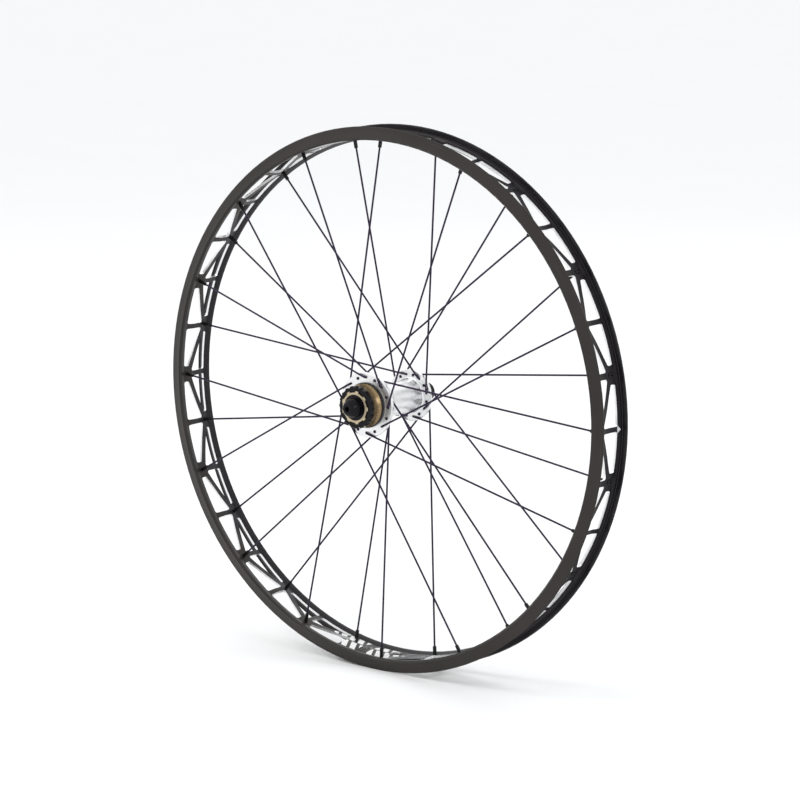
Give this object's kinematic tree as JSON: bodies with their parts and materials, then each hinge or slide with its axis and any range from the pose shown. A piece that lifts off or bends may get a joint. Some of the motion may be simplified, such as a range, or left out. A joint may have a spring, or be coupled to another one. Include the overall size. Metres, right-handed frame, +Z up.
{
  "type": "spoked bicycle wheel",
  "caption": "Spoked rear bicycle wheel with a wide cut-out rim, laced spokes, a large-flange hub and a splined ratchet freehub.",
  "frame": {"origin": "wheel centre, on the axle midway between the two dropout faces", "axes": "+Y along the axle, away from the sprocket side; +Z up; +X forward when the sprocket side is on the rider's right"},
  "size_m": [0.571, 0.135, 0.571],
  "materials": {
    "rim_black": "satin black anodised",
    "spoke_black": "black coated",
    "nipple_black": "black anodised",
    "polished_alloy": "polished",
    "bronze_alloy": "bronze anodised",
    "cap_black": "black anodised, machined",
    "seal_rubber": "matte",
    "spacer_alloy": "turned",
    "axle_alloy": "turned",
    "cage_brass": "stamped",
    "bearing_steel": "ground",
    "ratchet_steel": "machined"
  },
  "bodies": {
    "axle": {"axle": "axle_alloy", "inner_sleeve": "axle_alloy", "freehub_sleeve": "axle_alloy", "near_end_cap": "cap_black", "far_spacer": "spacer_alloy", "far_end_cap": "cap_black", "near_bearing_inner_race": "bearing_steel", "far_bearing_inner_race": "bearing_steel", "inner_freehub_bearing_inner_race": "bearing_steel", "outer_freehub_bearing_inner_race": "bearing_steel"},
    "wheel": {"rim": "rim_black", "spokes_near_outer": "spoke_black", "spokes_near_inner": "spoke_black", "spokes_far_outer": "spoke_black", "spokes_far_inner": "spoke_black", "nipples_near": "nipple_black", "nipples_far": "nipple_black", "hub_shell": "polished_alloy", "ratchet_ring": "ratchet_steel", "near_bearing_outer_race": "bearing_steel", "near_bearing_seals": "seal_rubber", "far_bearing_outer_race": "bearing_steel", "far_bearing_seals": "seal_rubber"},
    "freehub": {"freehub_body": "bronze_alloy", "freehub_seal": "seal_rubber", "spline_spacer": "cap_black", "pawl_springs": "ratchet_steel", "inner_freehub_bearing_outer_race": "bearing_steel", "inner_freehub_bearing_seals": "seal_rubber", "outer_freehub_bearing_outer_race": "bearing_steel", "outer_freehub_bearing_seals": "seal_rubber"},
    "pawl_1": {"pawl_1": "ratchet_steel"},
    "pawl_2": {"pawl_2": "ratchet_steel"},
    "pawl_3": {"pawl_3": "ratchet_steel"},
    "near_bearing_ball_set": {"near_bearing_balls": "bearing_steel", "near_bearing_cage": "cage_brass"},
    "far_bearing_ball_set": {"far_bearing_balls": "bearing_steel", "far_bearing_cage": "cage_brass"},
    "inner_freehub_bearing_ball_set": {"inner_freehub_bearing_balls": "bearing_steel", "inner_freehub_bearing_cage": "cage_brass"},
    "outer_freehub_bearing_ball_set": {"outer_freehub_bearing_balls": "bearing_steel", "outer_freehub_bearing_cage": "cage_brass"}
  },
  "joints": [
    {"name": "wheel_spin", "type": "hinge", "parent": "axle", "child": "wheel", "pos_m": [0, 0, 0], "axis": [0, 1, 0], "continuous": true},
    {"name": "freehub_spin", "type": "hinge", "parent": "axle", "child": "freehub", "pos_m": [0, 0, 0], "axis": [0, 1, 0], "continuous": true},
    {"name": "pawl_1_tilt", "type": "hinge", "parent": "freehub", "child": "pawl_1", "pos_m": [0.00715, -0.0297, 0.01157], "axis": [0, 1, 0], "range_deg": [0, 12], "stiffness_Nm_per_rad": 0.02, "springref_deg": -17.19},
    {"name": "pawl_2_tilt", "type": "hinge", "parent": "freehub", "child": "pawl_2", "pos_m": [-0.01359, -0.0297, 0.0004], "axis": [0, 1, 0], "range_deg": [0, 12], "stiffness_Nm_per_rad": 0.02, "springref_deg": -17.19},
    {"name": "pawl_3_tilt", "type": "hinge", "parent": "freehub", "child": "pawl_3", "pos_m": [0.00645, -0.0297, -0.01197], "axis": [0, 1, 0], "range_deg": [0, 12], "stiffness_Nm_per_rad": 0.02, "springref_deg": -17.19},
    {"name": "near_bearing_ball_orbit", "type": "hinge", "parent": "axle", "child": "near_bearing_ball_set", "pos_m": [0, 0, 0], "axis": [0, 1, 0], "continuous": true},
    {"name": "far_bearing_ball_orbit", "type": "hinge", "parent": "axle", "child": "far_bearing_ball_set", "pos_m": [0, 0, 0], "axis": [0, 1, 0], "continuous": true},
    {"name": "inner_freehub_bearing_ball_orbit", "type": "hinge", "parent": "axle", "child": "inner_freehub_bearing_ball_set", "pos_m": [0, 0, 0], "axis": [0, 1, 0], "continuous": true},
    {"name": "outer_freehub_bearing_ball_orbit", "type": "hinge", "parent": "axle", "child": "outer_freehub_bearing_ball_set", "pos_m": [0, 0, 0], "axis": [0, 1, 0], "continuous": true}
  ],
  "couplings": [
    {"joint": "near_bearing_ball_orbit", "follows": "wheel_spin", "ratio": 0.58837},
    {"joint": "far_bearing_ball_orbit", "follows": "wheel_spin", "ratio": 0.58837},
    {"joint": "inner_freehub_bearing_ball_orbit", "follows": "freehub_spin", "ratio": 0.56154},
    {"joint": "outer_freehub_bearing_ball_orbit", "follows": "freehub_spin", "ratio": 0.56154}
  ]
}
